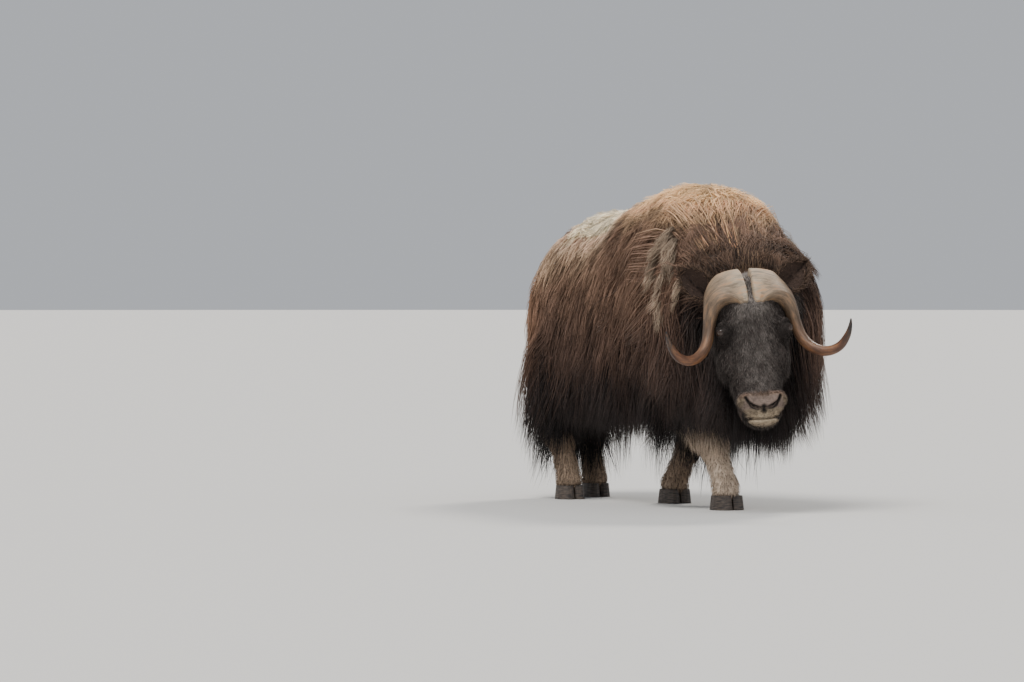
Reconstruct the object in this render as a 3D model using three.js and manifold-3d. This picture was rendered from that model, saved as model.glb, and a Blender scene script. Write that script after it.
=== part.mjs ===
// A bull muskox in mid-stride, life size: millimetres, +Z up, facing -Y with its left side towards +X.
// It stands on the floor at Z = 0, and X = Y = 0 is the middle of its outline seen from above.
import * as THREE from "three";
import { mergeVertices } from "three/addons/utils/BufferGeometryUtils.js";
import Module from "manifold-3d";

const wasm = await Module();
wasm.setup();

// Driving sizes of the whole animal
const GAP = 0.35; // between nodes that touch
const ROOT = 16; // how far the root of a lock is sunk
const TIP = 2; // half width of the tip of a lock
const HOOF_TOP = 58; // floor to the hair line above a hoof

// Flesh and underwool of the torso, from the rump forwards: place along the body, height of the
// widest line, reach to each side of it, above it and below it
const TORSO = [
  { at: [0, 704, 790], half: 0, up: 0, down: 0 },
  { at: [0, 676, 790], half: 96, up: 150, down: 160 },
  { at: [0, 590, 785], half: 150, up: 272, down: 240 },
  { at: [0, 440, 775], half: 188, up: 374, down: 265 },
  { at: [0, 240, 760], half: 222, up: 428, down: 270 },
  { at: [0, 0, 755], half: 256, up: 440, down: 265 },
  { at: [0, -220, 765], half: 285, up: 478, down: 270 },
  { at: [0, -430, 780], half: 298, up: 508, down: 285 },
  { at: [0, -590, 790], half: 300, up: 490, down: 285 },
  { at: [0, -700, 785], half: 272, up: 425, down: 240 },
  { at: [0, -768, 780], half: 185, up: 280, down: 150 },
  { at: [0, -790, 775], half: 0, up: 0, down: 0 },
];

// Neck, from inside the shoulders to the back of the skull, bent towards the animal's right
const NECK = [
  { at: [0, -560, 850], half: 0, up: 0, down: 0 },
  { at: [4, -600, 848], half: 230, up: 275, down: 250 },
  { at: [6, -700, 832], half: 268, up: 285, down: 285 },
  { at: [-8, -810, 812], half: 268, up: 258, down: 290 },
  { at: [-36, -905, 790], half: 236, up: 208, down: 275 },
  { at: [-72, -985, 772], half: 160, up: 125, down: 200 },
  { at: [-90, -1018, 765], half: 0, up: 0, down: 0 },
];

// The head's own frame: between the eyes, Z along the face, forwards still -Y
const HEAD_AT = [-190, -1152, 717];
const HEAD_TILT = -12; // degrees: brow back, muzzle forwards
const HEAD_ROLL = -4; // degrees: right side low
const HEAD_TURN = -23; // degrees: towards the animal's right

// Skull and jaw in that frame, from the crown to the chin; up is towards the face
const SKULL = [
  { at: [0, 110, 244], half: 0, up: 0, down: 0 },
  { at: [0, 110, 228], half: 76, up: 34, down: 66 },
  { at: [0, 108, 170], half: 120, up: 80, down: 104 },
  { at: [0, 108, 90], half: 138, up: 114, down: 120 },
  { at: [0, 110, 0], half: 140, up: 118, down: 124 },
  { at: [0, 95, -90], half: 120, up: 112, down: 120 },
  { at: [0, 75, -180], half: 95, up: 94, down: 96 },
  { at: [0, 56, -250], half: 84, up: 78, down: 72 },
  { at: [0, 46, -305], half: 78, up: 62, down: 58 },
  { at: [0, 42, -345], half: 58, up: 44, down: 44 },
  { at: [0, 42, -366], half: 0, up: 0, down: 0 },
];

// Rounded masses added to the skull: place, reach in X, Y and Z; those off the middle are mirrored
const SKULL_MASSES = [
  { at: [118, 26, 4], reach: [30, 34, 42] }, // eye socket
  { at: [92, 92, -92], reach: [40, 72, 84] }, // cheek
  { at: [56, 6, -276], reach: [44, 38, 38] }, // nostril wing
  { at: [0, 2, -304], reach: [84, 36, 34] }, // upper lip
  { at: [0, 28, -350], reach: [56, 42, 26] }, // lower lip and chin
];

// One horn from the middle of the boss to its tip: centre line, half length and half thickness of
// the section
const HORN = [
  { at: [15, 68, 193], long: 104, thick: 44 },
  { at: [55, 67, 189], long: 104, thick: 45 },
  { at: [98, 61, 172], long: 96, thick: 43 },
  { at: [134, 53, 140], long: 78, thick: 39 },
  { at: [157, 49, 94], long: 54, thick: 29 },
  { at: [170, 48, 38], long: 38, thick: 24 },
  { at: [186, 37, -22], long: 30, thick: 22 },
  { at: [214, 16, -70], long: 26, thick: 21 },
  { at: [252, -10, -98], long: 24, thick: 20 },
  { at: [288, -35, -104], long: 21, thick: 19 },
  { at: [323, -58, -90], long: 17, thick: 17 },
  { at: [348, -80, -58], long: 13, thick: 13 },
  { at: [360, -95, -26], long: 8, thick: 8 },
  { at: [365, -103, 4], long: 3, thick: 3 },
];
const BOSS_SLOPE = 48; // degrees: the boss rises from the brow to the nape
const BOSS_END = 0.37; // share of the horn's length where the boss has run out into the shaft

const NOSTRIL = {
  line: [[26, -50, -300], [48, -34, -284], [70, -26, -264]],
  section: { long: 10, thick: 6, way: new THREE.Vector3(0, 0, 1) },
};
const MOUTH_INSIDE = { at: [0, 62, -320], reach: [62, 62, 70] };

const EYE = { at: [137, 5, 2], radius: 20 };
const EAR = { root: [140, 160, 182], tip: [258, 118, 294], half: 52, thick: 17 };

// Legs from the body down to the hair line: centre line, half width and half depth
const LEGS = {
  foreleg_right: [
    { at: [-150, -425, 640], half: 72, deep: 100 },
    { at: [-140, -480, 520], half: 68, deep: 84 },
    { at: [-122, -575, 410], half: 60, deep: 68 },
    { at: [-102, -662, 305], half: 56, deep: 60 },
    { at: [-86, -716, 200], half: 46, deep: 48 },
    { at: [-74, -748, 110], half: 50, deep: 53 },
    { at: [-70, -757, HOOF_TOP], half: 53, deep: 57 },
  ],
  foreleg_left: [
    { at: [150, -425, 640], half: 72, deep: 100 },
    { at: [142, -400, 520], half: 68, deep: 84 },
    { at: [124, -345, 410], half: 60, deep: 68 },
    { at: [104, -275, 305], half: 56, deep: 60 },
    { at: [87, -203, 200], half: 46, deep: 48 },
    { at: [74, -152, 110], half: 50, deep: 53 },
    { at: [70, -139, HOOF_TOP], half: 53, deep: 57 },
  ],
  hindleg_right: [
    { at: [-150, 430, 620], half: 78, deep: 120 },
    { at: [-150, 440, 500], half: 68, deep: 96 },
    { at: [-134, 482, 390], half: 52, deep: 66 },
    { at: [-124, 486, 320], half: 48, deep: 58 },
    { at: [-117, 448, 210], half: 42, deep: 47 },
    { at: [-111, 414, 110], half: 47, deep: 50 },
    { at: [-110, 404, HOOF_TOP], half: 50, deep: 54 },
  ],
  hindleg_left: [
    { at: [150, 520, 620], half: 78, deep: 120 },
    { at: [150, 540, 500], half: 68, deep: 96 },
    { at: [130, 606, 390], half: 52, deep: 66 },
    { at: [120, 620, 320], half: 48, deep: 58 },
    { at: [110, 590, 210], half: 42, deep: 47 },
    { at: [102, 556, 110], half: 47, deep: 50 },
    { at: [100, 545, HOOF_TOP], half: 50, deep: 54 },
  ],
};
const FORE_HOOF = { half: 62, deep: 64 };
const HIND_HOOF = { half: 56, deep: 60 };
const CLEFT = 5; // between the two claws of a hoof

// Long coat: each tier of locks grows along one line of a form. The angle is measured from the top
// of the form, from and to are shares of its length, lift is how far the tips stand off it, and
// sweep is how far they lean towards the tail
const TORSO_TIERS = [
  { angle: 20, from: 0.12, to: 0.86, count: 6, length: 300, lift: 30, width: 84, sweep: 60 },
  { angle: 52, from: 0.07, to: 0.86, count: 7, length: 400, lift: 50, width: 86, sweep: 40 },
  { angle: 82, from: 0.05, to: 0.87, count: 8, length: 490, lift: 58, width: 84, sweep: 24 },
  { angle: 112, from: 0.04, to: 0.88, count: 9, length: 450, lift: 54, width: 84, sweep: 10 },
];
const NECK_TIERS = [
  { angle: 28, from: 0.28, to: 0.84, count: 3, length: 280, lift: 46, width: 80, sweep: 20 },
  { angle: 66, from: 0.28, to: 0.88, count: 3, length: 460, lift: 70, width: 84, sweep: 12 },
  { angle: 102, from: 0.28, to: 0.9, count: 5, length: 560, lift: 76, width: 84, sweep: 0 },
  { angle: 146, from: 0.34, to: 0.9, count: 3, length: 480, lift: 30, width: 92, sweep: 0 },
];
const LOCK_GAP = 1; // between crossing locks of two nodes
const RUMP_LONGER = 0.3; // share by which the locks over the rump hang longer than those of the flank
const LOCK_WIDTH = [0.8, 1, 1]; // from the root on, as shares of the width
const LOCK_DEPTH = [0.28, 0.3, 0.24];
const TORSO_SEED = 11;
const NECK_SEED = 23;

// Hair, horn and skin colours
const COLOURS = {
  flank: [0x4a3326, 0.95],
  mane: [0x6b4a33, 0.95],
  face: [0x2b221e, 0.9],
  leg: [0xa8937c, 0.95],
  horn: [0xa88a6a, 0.55],
  hoof: [0x2a2420, 0.5],
  eye: [0x120c08, 0.15],
};

const UP = new THREE.Vector3(0, 0, 1);
const FRONT = new THREE.Vector3(0, -1, 0);
const vector = (a) => new THREE.Vector3(...a);
const radians = THREE.MathUtils.degToRad;

// A closed solid from any closed three.js geometry, turned face out
function solid(geometry) {
  const bare = new THREE.BufferGeometry();
  bare.setAttribute("position", geometry.getAttribute("position"));
  bare.setIndex(geometry.index);
  const merged = mergeVertices(bare, 1e-3);
  const triVerts = new Uint32Array(merged.index.array);
  const vertProperties = merged.attributes.position.array;
  const made = new wasm.Manifold(new wasm.Mesh({ numProp: 3, vertProperties, triVerts }));
  if (made.volume() > 0) return made;
  for (let i = 0; i < triVerts.length; i += 3) {
    [triVerts[i + 1], triVerts[i + 2]] = [triVerts[i + 2], triVerts[i + 1]];
  }
  return new wasm.Manifold(new wasm.Mesh({ numProp: 3, vertProperties, triVerts }));
}

const fuse = (pieces) => wasm.Manifold.union(pieces);
const mirrored = (made) => made.mirror([1, 0, 0]);

// The largest closed surface of a solid, without loose scraps or sealed hollows
function largest(made) {
  return made.decompose().reduce((a, b) => (b.volume() > a.volume() ? b : a));
}

// A smooth run of values through rows of numbers, for t from 0 to 1
function spline(values, t) {
  const s = THREE.MathUtils.clamp(t, 0, 1) * (values.length - 1);
  const i = Math.min(Math.floor(s), values.length - 2);
  const f = s - i;
  const [a, b, c, d] = [i - 1, i, i + 1, i + 2].map(
    (k) => values[THREE.MathUtils.clamp(k, 0, values.length - 1)],
  );
  return b + 0.5 * f * (c - a + f * (2 * a - 5 * b + 4 * c - d + f * (3 * (b - c) + d - a)));
}

// A rounded form strung along stations: place(t, angle) is on its surface, with angle 0 on the side of over
class Form {
  constructor(stations, over, squareness = 0.9) {
    this.stations = stations;
    this.over = over;
    this.squareness = squareness;
  }
  value(key, t) {
    return Math.max(0, spline(this.stations.map((s) => s[key]), t));
  }
  centre(t) {
    return new THREE.Vector3(...[0, 1, 2].map((k) => spline(this.stations.map((s) => s.at[k]), t)));
  }
  frame(t) {
    const along = this.centre(t + 0.01).sub(this.centre(t - 0.01)).normalize();
    const side = new THREE.Vector3().crossVectors(this.over, along).normalize();
    const over = new THREE.Vector3().crossVectors(along, side);
    return { along, side, over };
  }
  place(t, angle) {
    const { side, over } = this.frame(t);
    const [s, c] = [Math.sin(angle), Math.cos(angle)];
    const bend = (v) => Math.sign(v) * Math.abs(v) ** this.squareness;
    return this.centre(t)
      .addScaledVector(side, bend(s) * this.value("half", t))
      .addScaledVector(over, bend(c) * this.value(c > 0 ? "up" : "down", t));
  }
  normal(t, angle) {
    const e = 0.01;
    if (t < e || t > 1 - e) return this.frame(t).along.multiplyScalar(t < 0.5 ? -1 : 1);
    const along = this.place(t + e, angle).sub(this.place(t - e, angle));
    const round = this.place(t, angle + e).sub(this.place(t, angle - e));
    return along.cross(round).normalize();
  }
  // The closed body, swollen by grow
  body(sides, rings, grow = 0) {
    const ball = new THREE.SphereGeometry(1, sides, rings);
    const [spot, map] = [ball.getAttribute("position"), ball.getAttribute("uv")];
    for (let i = 0; i < spot.count; i++) {
      const t = 1 - map.getY(i);
      const angle = t === 0 || t === 1 ? 0 : map.getX(i) * 2 * Math.PI;
      const p = this.place(t, angle).addScaledVector(this.normal(t, angle), grow);
      spot.setXYZ(i, p.x, p.y, p.z);
    }
    return solid(ball);
  }
}

// A rounded mass reaching so far each way from its middle
function mass({ at, reach }, grow = 0, sides = 11) {
  const ball = new THREE.SphereGeometry(1, sides, Math.round(sides * 0.6));
  ball.rotateX(Math.PI / 2);
  ball.scale(...reach.map((r) => r + grow));
  ball.translate(...at);
  return solid(ball);
}

// A tube with flat ends along a smooth line, swollen by grow; section(t) gives its half sizes and the
// direction of the long one
function tube(points, section, sides, steps, grow = 0) {
  const line = new THREE.CatmullRomCurve3(points.map(vector), false, "centripetal");
  const rod = new THREE.CylinderGeometry(1, 1, 1, sides, steps);
  const spot = rod.getAttribute("position");
  for (let i = 0; i < spot.count; i++) {
    const t = THREE.MathUtils.clamp(0.5 - spot.getY(i), 0, 1);
    const along = line.getTangent(t);
    const { long, thick, way } = section(t);
    const end = t < 1e-6 ? -grow : t > 1 - 1e-6 ? grow : 0;
    const across = new THREE.Vector3().crossVectors(along, way).normalize();
    const lengthways = new THREE.Vector3().crossVectors(across, along);
    const p = line
      .getPoint(t)
      .addScaledVector(along, end)
      .addScaledVector(lengthways, spot.getX(i) * (long + grow))
      .addScaledVector(across, spot.getZ(i) * (thick + grow));
    spot.setXYZ(i, p.x, p.y, p.z);
  }
  return solid(rod);
}

// The same numbers from 0 to 1 every time, for the unevenness of the coat
function dice(seed) {
  let state = seed;
  return () => {
    state = (state + 0x6d2b79f5) | 0;
    let x = Math.imul(state ^ (state >>> 15), 1 | state);
    x = (x + Math.imul(x ^ (x >>> 7), 61 | x)) ^ x;
    return ((x ^ (x >>> 14)) >>> 0) / 2 ** 32;
  };
}

// Line of a lock: down over the form as far as its widest line, then hanging free
function fall(form, { angle, length, lift, sweep }, t, side, steps) {
  const [points, outs] = [[], []];
  let turn = radians(angle);
  let [free, out] = [null, null];
  for (let k = 0; k <= steps; k++) {
    const f = k / steps;
    const rise = f === 0 ? -ROOT : lift * Math.sqrt(f);
    if (!free) {
      out = form.normal(t, side * turn);
      const p = form.place(t, side * turn).addScaledVector(out, rise);
      p.y += sweep * f * f;
      points.push(p.toArray());
      if (turn > radians(88) && k > 0) free = p.clone();
      const next = form.place(t, side * (turn + 0.1));
      turn += (0.1 * length) / steps / next.distanceTo(form.place(t, side * turn));
    } else {
      free.z -= length / steps;
      free.y += (sweep * (2 * f - 1 / steps)) / steps;
      points.push(free.toArray());
    }
    outs.push(out);
  }
  return { points, outs };
}

// One flat lock with a ridge along it, wide at its root and thin at its tip
function lock({ points, outs }, width, grow) {
  const section = (t) => {
    const f = t * (points.length - 1);
    const k = Math.min(Math.floor(f), points.length - 2);
    const out = outs[k].clone().lerp(outs[k + 1], f - k);
    const along = vector(points[k + 1]).sub(vector(points[k]));
    return {
      long: spline([...LOCK_WIDTH, TIP / width], t) * width,
      thick: spline([...LOCK_DEPTH, TIP / width], t) * width,
      way: out.cross(along).normalize(),
    };
  };
  return tube(points, section, 3, 3, grow);
}

function coat(form, tiers, seed, grow = 0) {
  const roll = dice(seed);
  const locks = [];
  tiers.forEach((tier, row) => {
    for (const side of [-1, 1]) {
      for (let i = 0; i < tier.count; i++) {
        const step = (tier.to - tier.from) / tier.count;
        const t = tier.from + step * (i + 0.25 + 0.5 * (row % 2) + 0.3 * (roll() - 0.5));
        const uneven = {
          ...tier,
          length: tier.length * (0.86 + 0.28 * roll()) * (1 + RUMP_LONGER * Math.max(0, 1 - 4 * t)),
          sweep: tier.sweep + 50 * (roll() - 0.5),
        };
        locks.push(lock(fall(form, uneven, t, side, 3), tier.width * (0.85 + 0.3 * roll()), grow));
      }
    }
  });
  return fuse(locks);
}

const torsoForm = new Form(TORSO, UP);
const neckForm = new Form(NECK, UP);
const torsoCore = (grow = 0) => torsoForm.body(22, 17, grow);
const neckCore = (grow = 0) => neckForm.body(18, 11, grow);

// Horn with its half of the boss
function horn(grow = 0) {
  const section = (t) => {
    const slope = radians(BOSS_SLOPE) * THREE.MathUtils.clamp((BOSS_END - t) / 0.25, 0, 1);
    return {
      long: spline(HORN.map((s) => s.long), t),
      thick: spline(HORN.map((s) => s.thick), t),
      way: new THREE.Vector3(0, Math.cos(slope), Math.sin(slope)),
    };
  };
  return tube(HORN.map((s) => s.at), section, 12, 22, grow);
}

const eye = (grow = 0) => mass({ at: EYE.at, reach: [EYE.radius, EYE.radius, EYE.radius] }, grow, 14);

// Ear: a leaf with its cup hollowed from the front
function ear(grow = 0) {
  const [root, tip] = [vector(EAR.root), vector(EAR.tip)];
  const leaf = [0, 0.25, 0.5, 0.75, 1].map((f) => {
    const swell = [0.62, 0.98, 1, 0.66, 0.08][Math.round(f * 4)];
    const at = root.clone().lerp(tip, f).toArray();
    return { at, long: EAR.half * swell, thick: EAR.thick * (1 - 0.6 * f) };
  });
  const way = new THREE.Vector3(-0.35, -0.1, 0.93);
  const section = (t) => ({
    long: spline(leaf.map((s) => s.long), t),
    thick: spline(leaf.map((s) => s.thick), t),
    way,
  });
  return tube(leaf.map((s) => s.at), section, 10, 8, grow);
}

function earCup() {
  const middle = vector(EAR.root).lerp(vector(EAR.tip), 0.52);
  const cup = new THREE.SphereGeometry(1, 12, 8);
  cup.scale(0.36 * vector(EAR.root).distanceTo(vector(EAR.tip)), EAR.thick * 1.1, EAR.half * 0.72);
  const along = vector(EAR.tip).sub(vector(EAR.root));
  cup.rotateY(-Math.atan2(along.z, along.x));
  cup.translate(middle.x - 2, middle.y - EAR.thick * 0.95, middle.z);
  return solid(cup);
}

function headCore(grow = 0) {
  const pieces = [new Form(SKULL, FRONT).body(18, 16, grow)];
  for (const m of SKULL_MASSES) {
    pieces.push(mass(m, grow));
    if (m.at[0]) pieces.push(mirrored(mass(m, grow)));
  }
  return fuse(pieces);
}

// Nostril: a comma-shaped pit on the front of the muzzle
function nostril() {
  return tube(NOSTRIL.line, () => NOSTRIL.section, 8, 3);
}

// Line of the mouth: a thin curved slot that follows the lips
function mouth() {
  const [width, slot, rise] = [72, 4, 18];
  const line = new THREE.Shape();
  line.moveTo(-width, rise);
  line.quadraticCurveTo(0, -rise, width, rise);
  line.lineTo(width, rise + slot);
  line.quadraticCurveTo(0, slot - rise, -width, rise + slot);
  const plate = new THREE.ExtrudeGeometry(line, { depth: 110, bevelEnabled: false, curveSegments: 7 });
  plate.rotateX(Math.PI / 2);
  plate.translate(0, 62, -328);
  return solid(plate).subtract(mass(MOUTH_INSIDE));
}

function lids() {
  const rim = new THREE.TorusGeometry(EYE.radius + 1, 5, 6, 14);
  rim.rotateY(Math.PI / 2 - radians(28));
  rim.translate(EYE.at[0] + 6, EYE.at[1] - 3, EYE.at[2]);
  return solid(rim);
}

function head() {
  let made = fuse([headCore(), lids(), mirrored(lids())]);
  const cuts = [horn(GAP), eye(GAP), ear(GAP), nostril()];
  made = made.subtract(fuse([...cuts, ...cuts.map(mirrored), mouth()]));
  return largest(made);
}

const headPose = new THREE.Matrix4().compose(
  vector(HEAD_AT),
  new THREE.Quaternion().setFromEuler(
    new THREE.Euler(radians(HEAD_TILT), radians(HEAD_ROLL), radians(HEAD_TURN), "ZYX"),
  ),
  new THREE.Vector3(1, 1, 1),
);
const posed = (made) => made.transform(headPose.elements);

function leg(stations, grow = 0) {
  const section = (t) => ({
    long: spline(stations.map((s) => s.deep), t),
    thick: spline(stations.map((s) => s.half), t),
    way: FRONT,
  });
  const points = stations.map((s) => s.at);
  const [x, y, z] = points.at(-1);
  points.push([x, y, z - 40]);
  return tube(points, section, 12, 11, grow).trimByPlane([0, 0, 1], HOOF_TOP - grow);
}

// Two claws side by side, joined at the heel, with a flat sole
function hoof(foot, { half, deep }) {
  const claw = (side) => {
    const toe = new THREE.CylinderGeometry(0.86, 1, HOOF_TOP - GAP, 16, 1);
    toe.rotateX(Math.PI / 2);
    toe.scale(half * 0.62, deep, 1);
    toe.translate(side * half * 0.42, 0, (HOOF_TOP - GAP) / 2);
    const clear = new THREE.BoxGeometry(half * 2, deep * 3, HOOF_TOP * 3);
    clear.translate(side * (-half + CLEFT / 2), 0, 0);
    return solid(toe).subtract(solid(clear));
  };
  const heel = new THREE.BoxGeometry(CLEFT * 4, deep * 0.7, HOOF_TOP * 0.6);
  heel.translate(0, deep * 0.4, HOOF_TOP * 0.55);
  return fuse([claw(-1), claw(1), solid(heel)]).translate([foot[0], foot[1] - 4, 0]);
}

function tail(grow = 0) {
  const points = [[0, 660, 960], [0, 712, 915], [0, 734, 860], [0, 738, 800]];
  const section = (t) => ({ long: 26 - 12 * t, thick: 24 - 14 * t, way: new THREE.Vector3(1, 0, 0) });
  return tube(points, section, 10, 6, grow);
}

const animal = new THREE.Group();

function add(name, made, [colour, roughness], group = animal) {
  const mesh = made.getMesh();
  const geometry = new THREE.BufferGeometry();
  geometry.setAttribute("position", new THREE.BufferAttribute(mesh.vertProperties, 3));
  geometry.setIndex(new THREE.BufferAttribute(mesh.triVerts, 1));
  geometry.computeVertexNormals();
  const material = new THREE.MeshStandardMaterial({ color: colour, roughness, metalness: 0 });
  const node = new THREE.Mesh(geometry, material);
  node.name = name;
  group.add(node);
}

const skull = new THREE.Group();
skull.applyMatrix4(headPose);
animal.add(skull);

const headClear = posed(
  fuse([headCore(GAP), horn(GAP), mirrored(horn(GAP)), ear(GAP), mirrored(ear(GAP))]),
);
const legsClear = fuse(Object.values(LEGS).map((stations) => leg(stations, GAP)));

// Locks give way to whatever they would cross, and the neck gives way to the torso
const torsoLocks = coat(torsoForm, TORSO_TIERS, TORSO_SEED).subtract(fuse([neckCore(GAP), headClear]));
const torso = fuse([torsoCore(), torsoLocks]).subtract(fuse([legsClear, tail(GAP)]));
const torsoClear = fuse([torsoCore(GAP), coat(torsoForm, TORSO_TIERS, TORSO_SEED, LOCK_GAP)]);
const neckLocks = coat(neckForm, NECK_TIERS, NECK_SEED).subtract(torsoClear);
const neckClear = fuse([headClear, legsClear, torso]);
const neck = fuse([neckCore().subtract(torsoCore(GAP)), neckLocks]).subtract(neckClear);

add("torso", largest(torso), COLOURS.flank);
add("neck", largest(neck), COLOURS.mane);
add("tail", largest(tail()), COLOURS.flank);
add("head", head(), COLOURS.face, skull);
for (const [side, hand] of [["left", (m) => m], ["right", mirrored]]) {
  add(`horn_${side}`, hand(horn()), COLOURS.horn, skull);
  add(`eye_${side}`, hand(eye()), COLOURS.eye, skull);
  add(`ear_${side}`, hand(largest(ear().subtract(fuse([earCup(), horn(GAP)])))), COLOURS.face, skull);
}
for (const [name, stations] of Object.entries(LEGS)) {
  const foot = stations.at(-1).at;
  add(name, leg(stations), COLOURS.leg);
  const size = name.startsWith("fore") ? FORE_HOOF : HIND_HOOF;
  add(name.replace("leg", "hoof"), hoof(foot, size), COLOURS.hoof);
}

// The middle of the outline seen from above goes to X = Y = 0
const middle = new THREE.Box3().setFromObject(animal, true).getCenter(new THREE.Vector3());
animal.position.set(-middle.x, -middle.y, 0);

export default animal;
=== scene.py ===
import math

import bmesh
import bpy
import numpy as np
from mathutils import Matrix, Vector, noise
from mathutils.bvhtree import BVHTree
from mathutils.kdtree import KDTree


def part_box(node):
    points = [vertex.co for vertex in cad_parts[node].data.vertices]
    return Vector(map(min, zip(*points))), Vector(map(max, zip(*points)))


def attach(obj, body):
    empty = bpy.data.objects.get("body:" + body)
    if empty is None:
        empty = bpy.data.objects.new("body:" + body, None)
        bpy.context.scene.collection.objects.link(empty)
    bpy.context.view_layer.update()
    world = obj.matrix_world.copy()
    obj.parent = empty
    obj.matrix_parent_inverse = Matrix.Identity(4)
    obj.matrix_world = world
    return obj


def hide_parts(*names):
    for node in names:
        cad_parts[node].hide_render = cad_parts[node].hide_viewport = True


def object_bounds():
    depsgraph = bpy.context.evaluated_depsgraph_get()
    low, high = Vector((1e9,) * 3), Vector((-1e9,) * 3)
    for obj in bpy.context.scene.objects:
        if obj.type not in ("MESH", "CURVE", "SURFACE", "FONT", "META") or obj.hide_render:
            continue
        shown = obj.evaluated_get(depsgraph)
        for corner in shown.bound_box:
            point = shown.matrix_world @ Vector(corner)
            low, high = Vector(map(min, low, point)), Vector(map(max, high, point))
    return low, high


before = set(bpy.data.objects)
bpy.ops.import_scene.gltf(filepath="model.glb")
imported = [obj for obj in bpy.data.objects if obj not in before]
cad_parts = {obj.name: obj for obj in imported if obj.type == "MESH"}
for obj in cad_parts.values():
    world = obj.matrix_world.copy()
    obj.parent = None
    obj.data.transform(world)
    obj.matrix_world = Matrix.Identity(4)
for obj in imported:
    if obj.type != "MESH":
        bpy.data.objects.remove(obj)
cad_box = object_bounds()

# Standpoint: the animal's own axes start between its feet, and the right fore hoof fixes where they lie in the
# frame. The camera stands 20 m off, in front of the right shoulder, at the height of the animal's chest.
RIGHT_FORE_HOOF = Vector((-0.070, -0.761, 0.0))
hoof_low, hoof_high = (Vector(corner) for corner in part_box("forehoof_right"))
ORIGIN = (hoof_low + hoof_high) / 2 - RIGHT_FORE_HOOF
ORIGIN.z = 0.0
GROUND = np.array(ORIGIN)
CAMERA_PLACE = Vector((-10.465, -17.052, 0.9)) + ORIGIN
CAMERA_TURN = math.radians(-30.0)
CAMERA_DIP = math.radians(0.672)


def put_in_scene(name, data):
    thing = bpy.data.objects.new(name, data)
    bpy.context.scene.collection.objects.link(thing)
    return thing


camera_data = bpy.data.cameras.new("camera")
camera_data.sensor_width = 36.0
camera_data.lens = 170.2
camera_data.clip_end = 400.0
camera = put_in_scene("camera", camera_data)
camera.location = CAMERA_PLACE
camera.rotation_euler = (math.radians(90.0) - CAMERA_DIP, 0.0, CAMERA_TURN)
bpy.context.scene.camera = camera


# Flesh: shoulders, barrel, neck, head and legs under the coat, built as a taxidermist's form is. Each is a
# rounded form strung along stations in millimetres, which give a middle, a half width, and the reach above and
# below it.
TORSO = np.array([
    (0, 704, 790, 0, 0, 0), (0, 676, 790, 96, 150, 160), (0, 590, 785, 150, 272, 240),
    (0, 440, 775, 188, 374, 265), (0, 240, 760, 222, 428, 270), (0, 0, 755, 256, 440, 265),
    (0, -220, 765, 285, 478, 270),
    (0, -430, 780, 298, 508, 285), (0, -590, 790, 300, 490, 285), (0, -700, 785, 272, 425, 240),
    (0, -768, 780, 185, 280, 150), (0, -790, 775, 0, 0, 0)], float)
NECK = np.array([
    (0, -560, 850, 0, 0, 0), (4, -600, 848, 230, 275, 250), (6, -700, 832, 268, 285, 285),
    (-8, -810, 812, 268, 258, 290), (-36, -905, 790, 236, 208, 275), (-72, -985, 772, 160, 125, 200),
    (-90, -1018, 765, 0, 0, 0)], float)
SKULL = np.array([
    (0, 110, 244, 0, 0, 0), (0, 110, 228, 76, 34, 66), (0, 108, 170, 120, 80, 104), (0, 108, 90, 138, 114, 120),
    (0, 110, 0, 140, 118, 124), (0, 95, -90, 120, 112, 120), (0, 75, -180, 95, 94, 96),
    (0, 56, -250, 84, 78, 72),
    (0, 46, -305, 78, 62, 58), (0, 42, -345, 58, 44, 44), (0, 42, -366, 0, 0, 0)], float)
SKULL_MASSES = [  # middle and reach of the eye socket, cheek, nostril wing, upper lip, and the chin
    ((118, 26, 4), (30, 34, 42)), ((92, 92, -92), (40, 72, 84)), ((56, 6, -276), (44, 38, 38)),
    ((0, 2, -304), (84, 36, 34)), ((0, 28, -350), (56, 42, 26))]
TAIL = np.array([
    (0, 650, 968, 0, 0, 0), (0, 662, 960, 24, 22, 22), (0, 712, 915, 20, 20, 20), (0, 734, 860, 16, 16, 16),
    (0, 738, 805, 13, 11, 11), (0, 738, 798, 0, 0, 0)], float)
LEGS = {
    "foreleg_right": np.array([
        (-150, -425, 660, 0, 0, 0), (-150, -425, 640, 70, 98, 98), (-140, -480, 520, 66, 82, 82),
        (-122, -575, 410, 58, 66, 66), (-102, -662, 305, 54, 58, 58), (-86, -716, 200, 44, 46, 46),
        (-74, -748, 110, 48, 51, 51), (-70, -757, 60, 51, 55, 55), (-70, -757, 52, 0, 0, 0)], float),
    "foreleg_left": np.array([
        (150, -425, 660, 0, 0, 0), (150, -425, 640, 70, 98, 98), (142, -400, 520, 66, 82, 82),
        (124, -345, 410, 58, 66, 66), (104, -275, 305, 54, 58, 58), (87, -203, 200, 44, 46, 46),
        (74, -152, 110, 48, 51, 51), (70, -139, 60, 51, 55, 55), (70, -139, 52, 0, 0, 0)], float),
    "hindleg_right": np.array([
        (-150, 430, 640, 0, 0, 0), (-150, 430, 620, 76, 118, 118), (-150, 440, 500, 66, 94, 94),
        (-134, 482, 390, 50, 64, 64), (-124, 486, 320, 46, 56, 56), (-117, 448, 210, 40, 45, 45),
        (-111, 414, 110, 45, 48, 48), (-110, 404, 60, 48, 52, 52), (-110, 404, 52, 0, 0, 0)], float),
    "hindleg_left": np.array([
        (150, 520, 640, 0, 0, 0), (150, 520, 620, 76, 118, 118), (150, 540, 500, 66, 94, 94),
        (130, 606, 390, 50, 64, 64), (120, 620, 320, 46, 56, 56), (110, 590, 210, 40, 45, 45),
        (102, 556, 110, 45, 48, 48), (100, 545, 60, 48, 52, 52), (100, 545, 52, 0, 0, 0)], float),
}
UP = np.array((0.0, 0.0, 1.0))
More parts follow.
